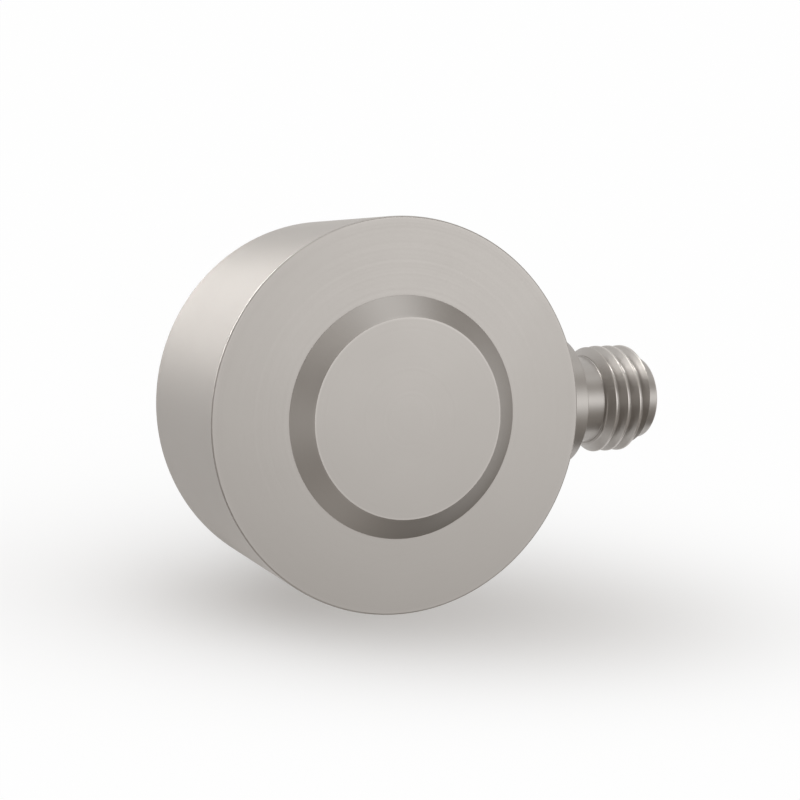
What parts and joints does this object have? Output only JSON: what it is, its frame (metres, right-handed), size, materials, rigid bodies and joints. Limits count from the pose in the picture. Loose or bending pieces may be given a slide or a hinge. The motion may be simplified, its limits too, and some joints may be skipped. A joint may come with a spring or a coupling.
{
  "type": "piezoelectric force sensor",
  "caption": "Flat round compression force sensor: steel case with a raised load boss on the front, quartz stack inside, and a threaded coaxial connector on the side.",
  "frame": {"origin": "centre of the flat back face, on the plane that the sensor stands on", "axes": "+Z is the load axis, from the back face out through the load boss; +X runs along the connector, away from the case"},
  "size_m": [0.0172, 0.013, 0.0073],
  "materials": {
    "housing": "fine turned stainless steel, satin",
    "base_plate": "fine ground stainless steel, satin",
    "connector_shell": "turned stainless steel, satin",
    "preload_shim": "lapped hardened steel",
    "lower_pressure_plate": "lapped hardened steel",
    "upper_pressure_plate": "lapped hardened steel",
    "quartz_disc_lower": "polished clear quartz",
    "quartz_disc_upper": "polished clear quartz",
    "centre_electrode": "gold-plated copper alloy sheet",
    "insulating_sleeve": "white fluoropolymer, smooth",
    "signal_lead": "bare gold ribbon",
    "seal_ferrule": "turned nickel-iron alloy",
    "glass_seal": "fused sealing glass, dark green",
    "feedthrough_pin": "gold-plated nickel-iron alloy",
    "connector_insulator": "white fluoropolymer, turned",
    "contact_socket": "gold-plated spring copper alloy"
  },
  "bodies": {
    "root": {"housing": "housing", "base_plate": "base_plate", "connector_shell": "connector_shell", "preload_shim": "preload_shim", "lower_pressure_plate": "lower_pressure_plate", "upper_pressure_plate": "upper_pressure_plate", "quartz_disc_lower": "quartz_disc_lower", "quartz_disc_upper": "quartz_disc_upper", "centre_electrode": "centre_electrode", "insulating_sleeve": "insulating_sleeve", "signal_lead": "signal_lead", "seal_ferrule": "seal_ferrule", "glass_seal": "glass_seal", "feedthrough_pin": "feedthrough_pin", "connector_insulator": "connector_insulator", "contact_socket": "contact_socket"}
  },
  "joints": []
}
